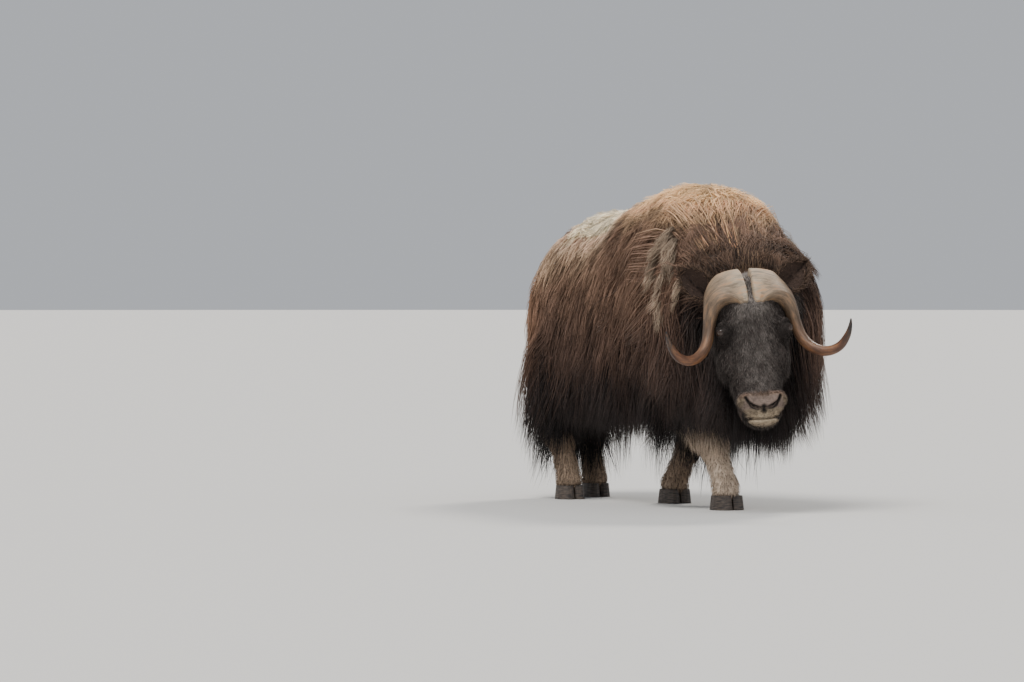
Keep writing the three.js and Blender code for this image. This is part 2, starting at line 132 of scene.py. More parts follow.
FRONT = np.array((0.0, -1.0, 0.0))
HEAD_POSE = (Matrix.Translation(Vector((-0.190, -1.152, 0.717)) + ORIGIN)
             @ Matrix.Rotation(math.radians(-23.0), 4, "Z") @ Matrix.Rotation(math.radians(-4.0), 4, "Y")
             @ Matrix.Rotation(math.radians(-12.0), 4, "X"))
BODY_POSE = Matrix.Translation(ORIGIN)
EYE_MIDDLE = np.array(Vector((0.131, 0.001, 0.002)))
EYE_RADIUS = 0.020


def run(rows, t):
    """Smooth values through rows of numbers, at shares t of the way."""
    s = np.clip(t, 0, 1) * (len(rows) - 1)
    i = np.minimum(np.floor(s).astype(int), len(rows) - 2)
    f = (s - i)[:, None]
    a, b, c, d = (rows[np.clip(i + k, 0, len(rows) - 1)] for k in (-1, 0, 1, 2))
    return b + 0.5 * f * (c - a + f * (2 * a - 5 * b + 4 * c - d + f * (3 * (b - c) + d - a)))


def unit(v):
    return v / np.maximum(np.linalg.norm(v, axis=-1, keepdims=True), 1e-9)


def on_form(stations, over, t, angle, inset=0.0):
    """Points of a rounded form in metres, with angle 0 on the side of over."""
    along = unit(run(stations[:, :3], t + 0.01) - run(stations[:, :3], t - 0.01))
    side = unit(np.cross(over, along))
    top = np.cross(along, side)
    values = run(stations, t)
    reach = np.maximum(0, values[:, 3:] - inset * 1000 * (values[:, 3:] > 1))
    s, c = np.sin(angle), np.cos(angle)
    wide = np.sign(s) * np.abs(s) ** 0.9 * reach[:, 0]
    high = np.sign(c) * np.abs(c) ** 0.9 * np.where(c > 0, reach[:, 1], reach[:, 2])
    return (values[:, :3] + side * wide[:, None] + top * high[:, None]) / 1000


def shaped_sphere(around, lengthways, place):
    """A closed form whose points go where place puts their share of the way and their angle."""
    bm = bmesh.new()
    bmesh.ops.create_uvsphere(bm, u_segments=around, v_segments=lengthways, radius=1.0)
    points = np.array([v.co for v in bm.verts])
    t = np.arccos(np.clip(points[:, 2], -1, 1)) / math.pi
    angle = np.arctan2(points[:, 1], points[:, 0])
    for v, p in zip(bm.verts, place(t, angle)):
        v.co = p
    bmesh.ops.recalc_face_normals(bm, faces=bm.faces)
    return bm, t, angle


def body_of(stations, over, around, lengthways, inset=0.0):
    return shaped_sphere(around, lengthways, lambda t, angle: on_form(stations, over, t, angle, inset))[0]


def mass_of(middle, reach):
    bm = bmesh.new()
    bmesh.ops.create_uvsphere(bm, u_segments=32, v_segments=20, radius=0.001)
    bmesh.ops.scale(bm, vec=reach, verts=bm.verts)
    bmesh.ops.translate(bm, vec=Vector(middle) / 1000, verts=bm.verts)
    return bm


def face_order(face):
    """A number that puts the faces of a mesh in the same order on every run."""
    a, b, c = sorted(v.index for v in face.verts)[:3]
    return float((a * 65536 + b) * 65536 + c)


def one_mesh(name, parts, pose):
    """Joins several bmeshes into one object's mesh, posed."""
    mesh = bpy.data.meshes.new(name)
    whole = bmesh.new()
    for part in parts:
        part.to_mesh(mesh)
        part.free()
        whole.from_mesh(mesh)
    bmesh.ops.transform(whole, matrix=pose, verts=whole.verts)
    whole.verts.index_update()
    whole.faces.sort(key=face_order)
    whole.to_mesh(mesh)
    whole.free()
    return put_in_scene(name, mesh)


def bake_modifiers(piece):
    graph = bpy.context.evaluated_depsgraph_get()
    mesh = bpy.data.meshes.new_from_object(piece.evaluated_get(graph), depsgraph=graph)
    old = piece.data
    piece.modifiers.clear()
    piece.data = mesh
    mesh.name = piece.name
    bpy.data.meshes.remove(old)


def remesh(piece, size):
    """Joins a piece's overlapping forms into one even mesh and softens it."""
    voxels = piece.modifiers.new("voxels", "REMESH")
    voxels.mode = "VOXEL"
    voxels.voxel_size = size
    soften = piece.modifiers.new("soften", "SMOOTH")
    soften.factor = 0.5
    soften.iterations = 3
    bake_modifiers(piece)


COVER = 0.004  # how deep the skin lies under the form that the coat's roots are laid out on
BODY_VOXEL = 0.012
HEAD_VOXEL = 0.0035
body_parts = [body_of(TORSO, UP, 48, 40, COVER), body_of(NECK, UP, 40, 28, COVER), body_of(TAIL, UP, 12, 12)]
body_parts += [body_of(leg, FRONT, 20, 30, 0.001) for leg in LEGS.values()]
skin = one_mesh("skin", body_parts, BODY_POSE)
remesh(skin, BODY_VOXEL)

head_parts = [body_of(SKULL, FRONT, 48, 40, 0.001)]
for middle, reach in SKULL_MASSES:
    head_parts.append(mass_of(middle, reach))
    if middle[0]:
        head_parts.append(mass_of((-middle[0], *middle[1:]), reach))
head = one_mesh("head_form", head_parts, Matrix.Identity(4))
remesh(head, HEAD_VOXEL)


# Face: lids that wrap the eyeballs, comma-shaped nostrils, the line of the mouth and the folds round them,
# pressed into the head's form as a sculptor would, in the head's own axes.
LID_REACH = 1.10  # of the eyeball's radius
SOCKET_REACH = 1.5
LIP_GAP = np.array((0, 0, 0.012))


def tree_of(*meshes):
    bm = bmesh.new()
    for mesh in meshes:
        bm.from_mesh(mesh)
    tree = BVHTree.FromBMesh(bm)
    bm.free()
    return tree


def front_line(places):
    """A line laid on the front of the head's form, from its sideways and upward places."""
    tree = tree_of(head.data)
    starts = [Vector((x, -0.5, z)) for x, z in places]
    hits = [tree.ray_cast(start, Vector((0, 1, 0)))[0] or tree.find_nearest(start)[0] for start in starts]
    return np.array(hits)


def nearness(points, line, reach):
    """1 on a line, falling softly to 0 at its reach."""
    best = np.full(len(points), 1e9)
    for a, b in zip(line[:-1], line[1:]):
        ab = b - a
        f = np.clip(((points - a) @ ab) / (ab @ ab), 0, 1)
        best = np.minimum(best, np.linalg.norm(points - a - f[:, None] * ab, axis=1))
    near = np.clip(1 - best / reach, 0, 1)
    return near * near * (3 - 2 * near)


def eye_opening(points, side, grow=1.0):
    """Which of the points look out between the lids of one eye, with their rays from its middle."""
    gaze = unit(np.array((0.86 * side, -0.5, -0.02)))
    across = unit(np.cross(UP, gaze))
    above = np.cross(gaze, across)
    offset = points - EYE_MIDDLE * (side, 1, 1)
    distance = np.linalg.norm(offset, axis=1)
    ray = offset / np.maximum(distance, 1e-6)[:, None]
    level, height = ray @ across, ray @ above + 0.12
    inside = ((level / (0.82 * grow)) ** 2 + (height / (0.46 * grow)) ** 2 < 1) & (ray @ gaze > 0)
    return inside, ray, distance


def read_points(mesh):
    flat = np.empty(len(mesh.vertices) * 3)
    mesh.vertices.foreach_get("co", flat)
    return flat.reshape(-1, 3)


NOSTRIL = front_line(((0.010, -0.313), (0.028, -0.309), (0.046, -0.300), (0.060, -0.284), (0.069, -0.266)))
MOUTH = front_line([(x, -0.351 + 3.2 * x * x) for x in np.linspace(-0.062, 0.062, 21)])
BROW = front_line(((0.126, 0.040), (0.112, 0.050), (0.092, 0.036)))
TEAR = front_line(((0.112, -0.024), (0.1, -0.055), (0.085, -0.085)))
PHILTRUM = front_line(((0.0, -0.306), (0.0, -0.322)))

points = read_points(head.data)
normals = np.empty(len(points) * 3)
head.data.vertex_normals.foreach_get("vector", normals)
carve = 0.010 * nearness(points, MOUTH, 0.008) - 0.004 * nearness(points, MOUTH + LIP_GAP, 0.013)
carve -= 0.004 * nearness(points, MOUTH - LIP_GAP, 0.013)
carve += 0.007 * nearness(points, PHILTRUM, 0.013)
for flip in ((1, 1, 1), (-1, 1, 1)):
    wing = nearness(points, NOSTRIL[2:] * flip, 0.024)
    carve += 0.012 * nearness(points, NOSTRIL * flip, 0.009) - 0.007 * wing
    carve += 0.009 * nearness(points, NOSTRIL[1:3] * flip, 0.013)
    carve -= 0.007 * nearness(points, BROW * flip, 0.020)
    carve += 0.004 * nearness(points, TEAR * flip, 0.016)
points = points - normals.reshape(-1, 3) * carve[:, None]
for side in (1, -1):
    middle = EYE_MIDDLE * (side, 1, 1)
    opening, ray, distance = eye_opening(points, side)
    near = distance < EYE_RADIUS * SOCKET_REACH
    radius = np.where(opening, EYE_RADIUS * 0.86, np.maximum(distance, EYE_RADIUS * LID_REACH))
    points = np.where(near[:, None], middle + ray * radius[:, None], points)
    fold = 0.0022 * np.cos((distance - EYE_RADIUS * SOCKET_REACH) * 620)
    fold = fold * np.exp(-((distance - 0.034) / 0.009) ** 2)
    points = points + np.array((side * 0.6, -0.8, 0)) * (fold * ~near)[:, None]
head.data.vertices.foreach_set("co", points.ravel())
head.data.update()
head.data.transform(HEAD_POSE)
join = skin.modifiers.new("head", "BOOLEAN")
join.operation = "UNION"
join.solver = "MANIFOLD"
join.object = head
bake_modifiers(skin)
bpy.data.objects.remove(head)
skin.data.shade_smooth()


# Markings: golden hump, cream saddle, rusty flanks that darken to a black skirt and beard, pale stockings,
# a grey-brown face with a pale muzzle. Skin and hair read the same colours from the place that they grow at.
def colour(r, g, b):
    values = np.array((r, g, b)) / 255
    return np.where(values <= 0.04045, values / 12.92, ((values + 0.055) / 1.055) ** 2.4)


GOLD = colour(246, 208, 162)
TAN = colour(206, 176, 146)
CREAM = colour(250, 234, 208)
RUST = colour(130, 103, 86)
BROWN = colour(94, 74, 64)
DARK = colour(52, 44, 42)
BLACK = colour(22, 19, 19)
EMBER = colour(144, 106, 80)
STOCKING = colour(200, 180, 160)
# Stockings in painted shade, for the legs away from the light.
STOCKING_IN_SHADE = colour(130, 109, 90)
FACE = colour(70, 63, 60)
FROST = colour(150, 142, 136)
PAD = colour(112, 98, 90)
LIP = colour(164, 148, 126)
RIM = colour(136, 108, 90)
CROWN = colour(78, 61, 50)
ROPE = colour(236, 212, 184)
head_inverse = np.array(HEAD_POSE.inverted())
HEAD_TURN = np.array(HEAD_POSE.to_3x3())


def to_head(points):
    return points @ head_inverse[:3, :3].T + head_inverse[:3, 3]


def from_head(points):
    return points @ HEAD_TURN.T + np.array(HEAD_POSE.translation)


def step(low, high, value):
    f = np.clip((value - low) / (high - low), 0, 1)
    return f * f * (3 - 2 * f)


def rough(points, scale, seed):
    """Soft noise from -1 to 1 at each point."""
    shift = Vector((seed * 7.3, seed * 3.1, seed * 5.7))
    return np.array([noise.noise(Vector(p) * scale + shift) for p in points])


def toward(shade, share, aim):
    """Colours moved a share of the way to another."""
    return shade + share[:, None] * (aim - shade)


def body_markings(points):
    """Colours of the coat at places in the frame."""
    p = points - GROUND
    x, y, height = p.T
    z = height + 0.06 * rough(p, 5.0, 1)
    z = z - 0.02 * step(0.30, 0.62, -y) * (height < 0.95) + 0.05 * step(0.3, 0.6, y)
    result = toward(BLACK, step(0.30, 0.50, z), DARK)
    result = toward(result, step(0.46, 0.70, z), BROWN)
    result = toward(result, step(0.66, 0.92, z), RUST)
    result = toward(result, step(1.10, 1.26, z), GOLD)
    result = toward(result, 0.5 * step(0.36, 0.64, y) * step(0.35, 0.7, z), EMBER)
    tan = step(-0.16, 0.02, y) * step(0.92, 1.08, z + 0.06 * rough(p, 9.0, 2)) * step(-0.72, -0.56, -y)
    result = toward(result, 0.85 * tan, TAN)
    saddle = step(-0.12, 0.0, y) * step(-0.46, -0.30, -y) * step(1.04, 1.13, z) * step(-0.26, -0.14, -np.abs(x))
    result = toward(result, saddle, CREAM)
    crown = step(0.72, 0.84, -y) * step(0.86, 0.96, height) * step(-1.12, -1.03, -height)
    return np.minimum(toward(result, 0.9 * crown, CROWN), 0.97)


def leg_markings(points):
    """Pale stockings under dark upper legs; the right fore leg, in the light, is palest, and the rest carry
    painted shade.
    """
    p = points - GROUND
    x, y, z = p.T
    front = step(-0.1, 0.1, -y)
    right = step(-0.05, 0.05, -x)
    pale = toward(STOCKING_IN_SHADE, 0.25 + 0.75 * front * right, STOCKING)
    high = z + 0.04 * rough(p, 14.0, 3) - 0.10 * (front * right)
    return toward(pale, step(0.27, 0.40, high), DARK)


def face_markings(points):
    """Frosted brow, muzzle rim, lips, nose pad and chin, then painted shade in nostrils, philtrum, mouth,
    sockets.
    """
    local = to_head(points)
    x, y, z = local.T
    frost = np.clip(0.5 + 0.9 * rough(local, 38.0, 4), 0, 1) * step(-0.11, -0.04, -np.abs(x))
    result = toward(FACE, 0.38 * frost * step(-0.06, 0.02, -y), FROST)
    result = toward(result, 0.65 * step(0.04, 0.13, z) * step(-0.09, -0.03, -np.abs(x)), FROST)
    result = toward(result, 0.8 * (step(0.234, 0.250, -z) * step(-0.02, 0.05, -y)), RIM)
    mottle = (1 + 0.22 * rough(local, 90.0, 6) + 0.15 * rough(local, 260.0, 7))[:, None]
    edge = 0.006 * rough(local, 120.0, 8)
    lips = step(0.246, 0.280, -z + edge) * step(-0.045, 0.03, -y + edge)
    result = toward(result, 0.9 * lips, LIP * 0.45 * mottle)
    low_lip = step(0.312, 0.338, -z + edge) * step(-0.045, 0.01, -y + edge) * step(-0.10, -0.06, -np.abs(x))
    result = toward(result, low_lip, LIP * mottle)
    pad = step(-0.080, -0.060, -np.abs(x) + 0.5 * np.clip(-0.27 - z, 0, 1)) * step(-0.318, -0.304, z)
    result = toward(result, step(0.250, 0.268, -z) * pad, PAD * mottle)
    result = toward(result, step(0.366, 0.388, -z + edge), FACE * 1.3)
    # Painted shade in the nostrils, along the philtrum's groove and in the line of the mouth.
    for flip in ((1, 1, 1), (-1, 1, 1)):
        dark = nearness(local, NOSTRIL * flip, 0.012) + nearness(local, NOSTRIL[1:3] * flip, 0.016)
        result = toward(result, np.clip(1.3 * dark, 0, 1), BLACK * 0.4)
    result = toward(result, np.clip(1.4 * nearness(local, PHILTRUM, 0.018), 0, 1), BLACK * 0.8)
    mouth = nearness(local, MOUTH[5:16], 0.009) + 0.7 * nearness(local, MOUTH, 0.006)
    result = toward(result, np.clip(mouth, 0, 1), BLACK * 0.5)
    # Painted shade in the hollows round the eyes, then a darker line along the lids' edges.
    for flip in ((1, 1, 1), (-1, 1, 1)):
        socket = np.linalg.norm(local - EYE_MIDDLE * flip, axis=1)
        result = toward(result, 0.8 * step(-0.080, -0.020, -socket), FACE * 0.34)
        result = toward(result, 0.5 * step(-0.0215, -0.0200, -socket), RIM * 0.5)
    return result


def is_head(points):
    x, y, z = to_head(points).T
    return (y < 0.16) & (z > -0.40) & (z < 0.27) & (np.abs(x) < 0.2)


def paint(mesh, colours):
    layer = mesh.color_attributes.new("hair_colour", "FLOAT_COLOR", "POINT")
    values = np.column_stack((colours, np.ones(len(colours))))
    layer.data.foreach_set("color", values.astype(np.float32).ravel())


def fill(tree, node, sockets):
    """Gives each of a node's sockets its value, or links it to another node's output."""
    for socket, value in sockets.items():
        if isinstance(value, bpy.types.NodeSocket):
            tree.links.new(value, node.inputs[socket])
        else:
            node.inputs[socket].default_value = value
    return node


def add(tree, kind, sockets=None, **settings):
    """A new shader node with its settings made and its sockets filled."""
    node = tree.nodes.new("ShaderNode" + kind)
    for setting, value in settings.items():
        setattr(node, setting, value)
    return fill(tree, node, sockets or {})


def new_material(name):
    """An empty material, with its node tree and its shader."""
    material = bpy.data.materials.new(name)
    material.use_nodes = True
    return material, material.node_tree, material.node_tree.nodes["Principled BSDF"]


# The grain of hair is one node group: fine noise that breaks up the painted markings and lifts the surface.
hair_grain = bpy.data.node_groups.new("hair_grain", "ShaderNodeTree")
for name, way, kind in (("Place", "INPUT", "Vector"), ("Markings", "INPUT", "Color"),
                        ("Scale", "INPUT", "Float"), ("Colour", "OUTPUT", "Color"),
                        ("Height", "OUTPUT", "Float")):
    hair_grain.interface.new_socket(name, in_out=way, socket_type="NodeSocket" + kind)
given = hair_grain.nodes.new("NodeGroupInput").outputs
grain = add(hair_grain, "TexNoise", {"Vector": given["Place"], "Scale": given["Scale"], "Detail": 3.0})
spread = add(hair_grain, "MapRange", {"Value": grain.outputs["Fac"], "From Min": 0.3, "From Max": 0.7,
                                      "To Min": 0.72, "To Max": 1.25})
tint = add(hair_grain, "Mix", {"Factor": 1.0, "A": given["Markings"], "B": spread.outputs["Result"]},
           data_type="RGBA", blend_type="MULTIPLY")
fill(hair_grain, hair_grain.nodes.new("NodeGroupOutput"),
     {"Colour": tint.outputs["Result"], "Height": grain.outputs["Fac"]})


def hair_material(name, roughness, sheen, scale, depth):
    """Hair or short pile in its painted markings; depth is how far the grain lifts it, in metres."""
    material, tree, shader = new_material(name)
    place = add(tree, "TexCoord")
    markings = add(tree, "Attribute", attribute_name="hair_colour")
    grain = add(tree, "Group", {"Place": place.outputs["Object"], "Markings": markings.outputs["Color"],
                                "Scale": scale}, node_tree=hair_grain)
    bump = add(tree, "Bump", {"Strength": 0.6, "Distance": depth, "Height": grain.outputs["Height"]})
    fill(tree, shader, {"Base Color": grain.outputs["Colour"], "Roughness": roughness, "Sheen Weight": sheen,
                        "Specular IOR Level": 0.12, "Normal": bump.outputs["Normal"]})
    return material


points = read_points(skin.data)
# Painted shade: the skin under the coat takes the hair's colour at 0.55, as shade deep in the coat.
skin_colours = body_markings(points) * 0.55
low = points[:, 2] < 0.46
skin_colours[low] = leg_markings(points[low])
on_head = is_head(points)
skin_colours[on_head] = face_markings(points[on_head])
paint(skin.data, skin_colours)
short_pile = hair_material("short_pile", 0.85, 0.02, 260.0, 0.003)
skin.data.materials.clear()
skin.data.materials.append(short_pile)
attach(skin, "root")
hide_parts("torso", "neck", "tail", "head", *LEGS)
skin_tree = tree_of(skin.data)


# Ears: small leaves of gristle under dark fur, set behind the horns and half lost in the mane, cupped forwards
# with brown hair inside. Each is a closed leaf whose front is hollowed between its two rims.
EAR_ROOT = Vector((0.140, 0.160, 0.182))
EAR_TIP = Vector((0.258, 0.118, 0.294))
EAR_ACROSS = Vector((-0.35, -0.1, 0.93))
EAR_WIDTHS = np.array(((0.0,), (0.030,), (0.046,), (0.052,), (0.050,), (0.040,), (0.022,), (0.0,)))


def ear_points(t, angle, side):
    axis = np.array(EAR_TIP - EAR_ROOT)
    along = unit(axis)
    front = unit(np.cross(along, np.array(EAR_ACROSS)))
    if front[1] > 0:
        front = -front
    across = np.cross(front, along)
    width = run(EAR_WIDTHS, t)[:, 0]
    thick = 0.013 * (1 - 0.6 * t) * np.minimum(1, width / 0.02)
    s, c = np.sin(angle), np.cos(angle)
    hollow = np.where(c > 0, -1.6 * c * thick * (1 - np.abs(s)) * np.minimum(1, 6 * t), 0)
    curl = 0.016 * s * s * np.sin(math.pi * np.clip(t, 0, 1))
    depth = c * thick * np.where(c > 0, 0.5, 1.0) + hollow + curl
    out = (np.array(EAR_ROOT) - along * 0.012 + np.outer(t, axis + along * 0.012)
           + across * (s * width)[:, None] + front * depth[:, None])
    return out * (side, 1, 1)


ears = []
for name, side in (("left", 1), ("right", -1)):
    bm = shaped_sphere(40, 28, lambda t, angle: ear_points(t, angle, side))[0]
    ear = one_mesh("ear_skin_" + name, [bm], HEAD_POSE)
    ear.data.shade_smooth()
    paint(ear.data, np.tile(colour(66, 54, 48), (len(ear.data.vertices), 1)))
    ear.data.materials.append(short_pile)
    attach(ear, "root")
    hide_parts("ear_" + name)
    ears.append(ear)


# Horns: one sheath of keratin each side, a broad pale boss with a fibrous, chipped face that rises over the
# brow, running out into a smooth shaft that hooks down, out and up to a black tip.
HORN = np.array([
    (15, 68, 193, 104, 44), (55, 67, 189, 104, 45), (98, 61, 172, 96, 43), (134, 53, 140, 78, 39),
    (157, 49, 94, 54, 29), (170, 48, 38, 38, 24), (186, 37, -22, 30, 22), (214, 16, -70, 26, 21),
    (252, -10, -98, 24, 20), (288, -35, -104, 21, 19), (323, -58, -90, 17, 17), (348, -80, -58, 13, 13),
    (360, -95, -26, 8, 8), (365, -103, 4, 2.5, 2.5)], float)
BOSS_SLOPE = math.radians(48.0)
BOSS_END = 0.37


def horn_points(t, angle, side):
    middle = run(HORN[:, :3], t) / 1000
    middle[:, 0] -= 0.005 * np.clip(1 - t / 0.05, 0, 1)
    along = unit(run(HORN[:, :3], t + 0.004) - run(HORN[:, :3], t - 0.004))
    slope = BOSS_SLOPE * np.clip((BOSS_END - t) / 0.25, 0, 1)
    way = np.column_stack((np.zeros(len(t)), np.cos(slope), np.sin(slope)))
    across = unit(np.cross(along, way))
    lengthways = np.cross(across, along)
    sizes = run(HORN[:, 3:], t) / 1000
    end = np.sqrt(1 - (1 - np.clip(t / 0.022, 0, 1)) ** 2)
    ridge = 0.010 * np.sin(angle * 23 + 30 * t) + 0.016 * np.sin(angle * 7 - 46 * t)
    ridge = 1 + ridge * np.clip(1 - 2.4 * t, 0, 1)
    out = (middle + lengthways * (np.sin(angle) * sizes[:, 0] * end * ridge)[:, None]
           + across * (np.cos(angle) * sizes[:, 1] * end * ridge)[:, None])
    return out * (side, 1, 1)


def ramp(tree, share, stops):
    """The output of a colour ramp, from its positions and colours in order."""
    node = add(tree, "ValToRGB", {"Fac": share})
    first, *between, last = stops
    for element, (position, shade) in zip(node.color_ramp.elements, (first, last)):
        element.position = position
        element.color = (*colour(*shade), 1)
    for position, shade in between:
        node.color_ramp.elements.new(position).color = (*colour(*shade), 1)
    return node.outputs["Color"]


def horn_material():
    """Pale, stained and streaked at the boss, brown and smooth along the shaft, black at the tip."""
    material, tree, shader = new_material("horn_keratin")
    place = add(tree, "TexCoord")
    share = add(tree, "Attribute", attribute_name="horn_share").outputs["Fac"]
    lengthways = add(tree, "Attribute", attribute_name="horn_place").outputs["Vector"]
    blotch = add(tree, "TexNoise", {"Vector": place.outputs["Object"], "Scale": 22.0, "Detail": 6.0})
    wander = add(tree, "Math", {0: blotch.outputs["Fac"], 1: 0.16, 2: -0.08}, operation="MULTIPLY_ADD")
    shifted = add(tree, "Math", {0: share, 1: wander.outputs["Value"]}, operation="ADD")
    base = ramp(tree, shifted.outputs["Value"], (
        (0.0, (184, 168, 146)), (0.09, (164, 144, 120)), (0.22, (126, 106, 86)), (0.38, (98, 78, 60)),
        (0.58, (108, 74, 52)), (0.76, (100, 64, 44)), (0.88, (50, 40, 36)), (1.0, (24, 22, 24))))
    stain = add(tree, "TexNoise", {"Vector": lengthways, "Scale": 1.0, "Detail": 8.0, "Roughness": 0.68})
    dirt = add(tree, "MapRange", {"Value": stain.outputs["Fac"], "From Min": 0.50, "From Max": 0.62})
    near_groove = add(tree, "MapRange", {"Value": share, "From Min": 0.03, "From Max": 0.16, "To Min": 0.75,
                                         "To Max": 0.25})
    amount = add(tree, "Math", {0: dirt.outputs["Result"], 1: near_groove.outputs["Result"]},
                 operation="MULTIPLY")
    stained = add(tree, "Mix", {"Factor": amount.outputs["Value"], "A": base, "B": (*colour(176, 122, 70), 1)},
                  data_type="RGBA")
    streak = add(tree, "MapRange", {"Value": stain.outputs["Fac"], "From Min": 0.36, "From Max": 0.56,
                                    "To Min": 0.45})
    worn = add(tree, "Mix", {"Factor": 1.0, "A": stained.outputs["Result"], "B": streak.outputs["Result"]},
               data_type="RGBA", blend_type="MULTIPLY")
    roughness = add(tree, "MapRange", {"Value": share, "To Min": 0.75, "To Max": 0.32})
    fibres = add(tree, "TexNoise", {"Vector": lengthways, "Scale": 3.0, "Detail": 6.0})
    bump = add(tree, "Bump", {"Strength": 0.5, "Distance": 0.004, "Height": fibres.outputs["Fac"]})
    fill(tree, shader, {"Base Color": worn.outputs["Result"], "Roughness": roughness.outputs["Result"],
                        "Normal": bump.outputs["Normal"], "Specular IOR Level": 0.5})
    return material


keratin = horn_material()
horns = []
for name, side in (("left", 1), ("right", -1)):
    bm, t, angle = shaped_sphere(64, 180, lambda t, angle: horn_points(t, angle, side))
    horn = one_mesh("horn_sheath_" + name, [bm], HEAD_POSE)
    horn.data.shade_smooth()
    layer = horn.data.attributes.new("horn_share", "FLOAT", "POINT")
    layer.data.foreach_set("value", t.astype(np.float32))
    wide = run(HORN[:, 3:], t)[:, 0] / 1000 * 50
    lengthways = np.column_stack((np.cos(angle) * wide, np.sin(angle) * wide, t * 8 + side * 20))
    layer = horn.data.attributes.new("horn_place", "FLOAT_VECTOR", "POINT")
    layer.data.foreach_set("vector", lengthways.astype(np.float32).ravel())
    horn.data.materials.append(keratin)
    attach(horn, "root")
    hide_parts("horn_" + name)
    horns.append(horn)


# Coat: guard hairs up to half a metre long over dense underwool. Every tuft is a closed, flat, three-sided
# strand that tapers to a point, follows the skin or hangs from it, and leans to its neighbour's tip in clumps.
SINK = 0.004  # depth of the roots in the skin
UV_SIZE = 0.003
STRAY = 0.02  # how far off the skin a root on the form may be
SLACK = 1.25  # how far over its height a tuft may rise while it leaves the skin
CELLS = 120
LOW_CORNER = np.array(cad_box[0]) - (0.012, 0.03, 0.0)
HIGH_CORNER = np.array(cad_box[1]) + (0.012, 0.03, 0.02)
whole_tree = tree_of(skin.data, *(ear.data for ear in ears), *(horn.data for horn in horns))


def scatter(stations, over, count, grows, rng):
    """Roots on the skin over one form: places, normals and their spot on the form's own unwrap."""
    t, a = np.meshgrid((np.arange(CELLS) + 0.5) / CELLS, (np.arange(CELLS) + 0.5) / CELLS * 2 * math.pi)
    t, a = t.ravel(), a.ravel()
    e = 0.004
    along = on_form(stations, over, t + e, a) - on_form(stations, over, t - e, a)
    round_about = on_form(stations, over, t, a + e) - on_form(stations, over, t, a - e)
    weight = np.linalg.norm(np.cross(along, round_about), axis=1)
    weight = weight * (grows(*on_form(stations, over, t, a).T) + 1e-7)
    pick = rng.choice(len(t), size=count, p=weight / weight.sum())
    t = t[pick] + (rng.random(count) - 0.5) / CELLS
    a = a[pick] + (rng.random(count) - 0.5) / CELLS * 2 * math.pi
    matrix = np.array(BODY_POSE)
    places = on_form(stations, over, t, a) @ matrix[:3, :3].T + matrix[:3, 3]
    roots, normals, keep = [], [], []
    for i, p in enumerate(places):
        found, normal, _, distance = skin_tree.find_nearest(Vector(p))
        if found is not None and distance < STRAY:
            roots.append(found)
            normals.append(normal)
            keep.append(i)
    return np.array(roots), np.array(normals), np.column_stack((a / (2 * math.pi), t))[keep]


def part_behind_head(spots):
    """Hair of the mane parts behind the ears and horns: nothing of it passes in front of them."""
    local = to_head(spots)
    x, z = np.abs(local[:, 0]), local[:, 2]
    limit = np.where(z > -0.05, 0.175, 0.175 - 0.35 * np.clip(-0.05 - z, 0, 0.3))
    limit = np.where((x < 0.34) & (z > -0.40), limit, -1.0)
    local[:, 1] = np.maximum(local[:, 1], limit)
    return from_head(local)


def along_skin(flow, normals):
    """The flow laid along the skin, but left to hang freely where the skin faces down."""
    into = np.sum(flow * normals, axis=1, keepdims=True)
    free = (normals[:, 2:] < -0.15) & (into > 0)
    return unit(flow - normals * np.where(free, 0, into))


def comb(roots, normals, flow, length, lift, stand, steps, weight, parting=False):
    """Lines of the tufts: out of the skin, over along the flow, lifted off it, falling by their weight."""
    count = len(roots)
    tree = whole_tree if parting else skin_tree
    lines = np.empty((count, steps + 1, 3))
    outs = np.empty((count, steps + 1, 3))
    lines[:, 0] = roots - normals * SINK
    outs[:, 0] = normals
    tangent = along_skin(flow, normals)
    heading = unit(tangent * np.cos(stand)[:, None] + normals * np.sin(stand)[:, None])
    spot = lines[:, 0].copy()
    near = normals.copy()
    for k in range(1, steps + 1):
        share = k / steps
        spot = spot + heading * (length / steps)[:, None]
        for i in range(count):
            found, normal, _, _ = tree.find_nearest(Vector(spot[i]))
            height = (Vector(spot[i]) - found).dot(normal)
            want = lift[i] * share ** 0.5
            if height < want:
                spot[i] += np.array(normal) * (want - height)
            elif k < 3 and height > want * SLACK:
                spot[i] -= np.array(normal) * (height - want * SLACK)
            near[i] = normal
        if parting:
            spot = part_behind_head(spot)
        spot = np.clip(spot, LOW_CORNER, HIGH_CORNER)
        lines[:, k] = spot
        outs[:, k] = unit(0.4 * outs[:, k - 1] + 0.6 * near)
        travel = unit(lines[:, k] - lines[:, k - 1])
        pull = min(1.0, weight * share)
        aim = along_skin(flow, near) * (1 - pull) + np.array((0, 0, -1.0)) * pull
        heading = unit(0.4 * travel + 0.6 * aim)
    return lines, outs


def gather(lines, clump_size, strength, rng):
    """Draws the tufts towards leaders, so that their tips come together in locks."""
    count = len(lines)
    leaders = rng.permutation(count)[:max(1, count // clump_size)]
    tree = KDTree(len(leaders))
    for place, leader in enumerate(leaders):
        tree.insert(Vector(lines[leader, 0]), place)
    tree.balance()
    leader = leaders[[tree.find(Vector(p))[1] for p in lines[:, 0]]]
    share = np.linspace(0, 1, lines.shape[1])[None, :, None] ** 1.2
    gap = (lines[:, :1] - lines[leader][:, :1]) * (1 - 0.8 * share)
    return lines + (lines[leader] + gap - lines) * share * strength, leader


def crimp(lines, outs, leader, size, turns, rng):
    """Waves the tufts, those of one lock together."""
    phase = rng.random(len(lines)) * 2 * math.pi
    s = np.linspace(0, 1, lines.shape[1])[None, :]
    side = unit(np.cross(np.gradient(lines, axis=1), outs))
    angle = s * turns * 2 * math.pi + phase[leader][:, None]
    swing = side * np.sin(angle)[..., None] + outs * 0.5 * np.cos(angle)[..., None]
    return lines + swing * (size * s)[..., None]


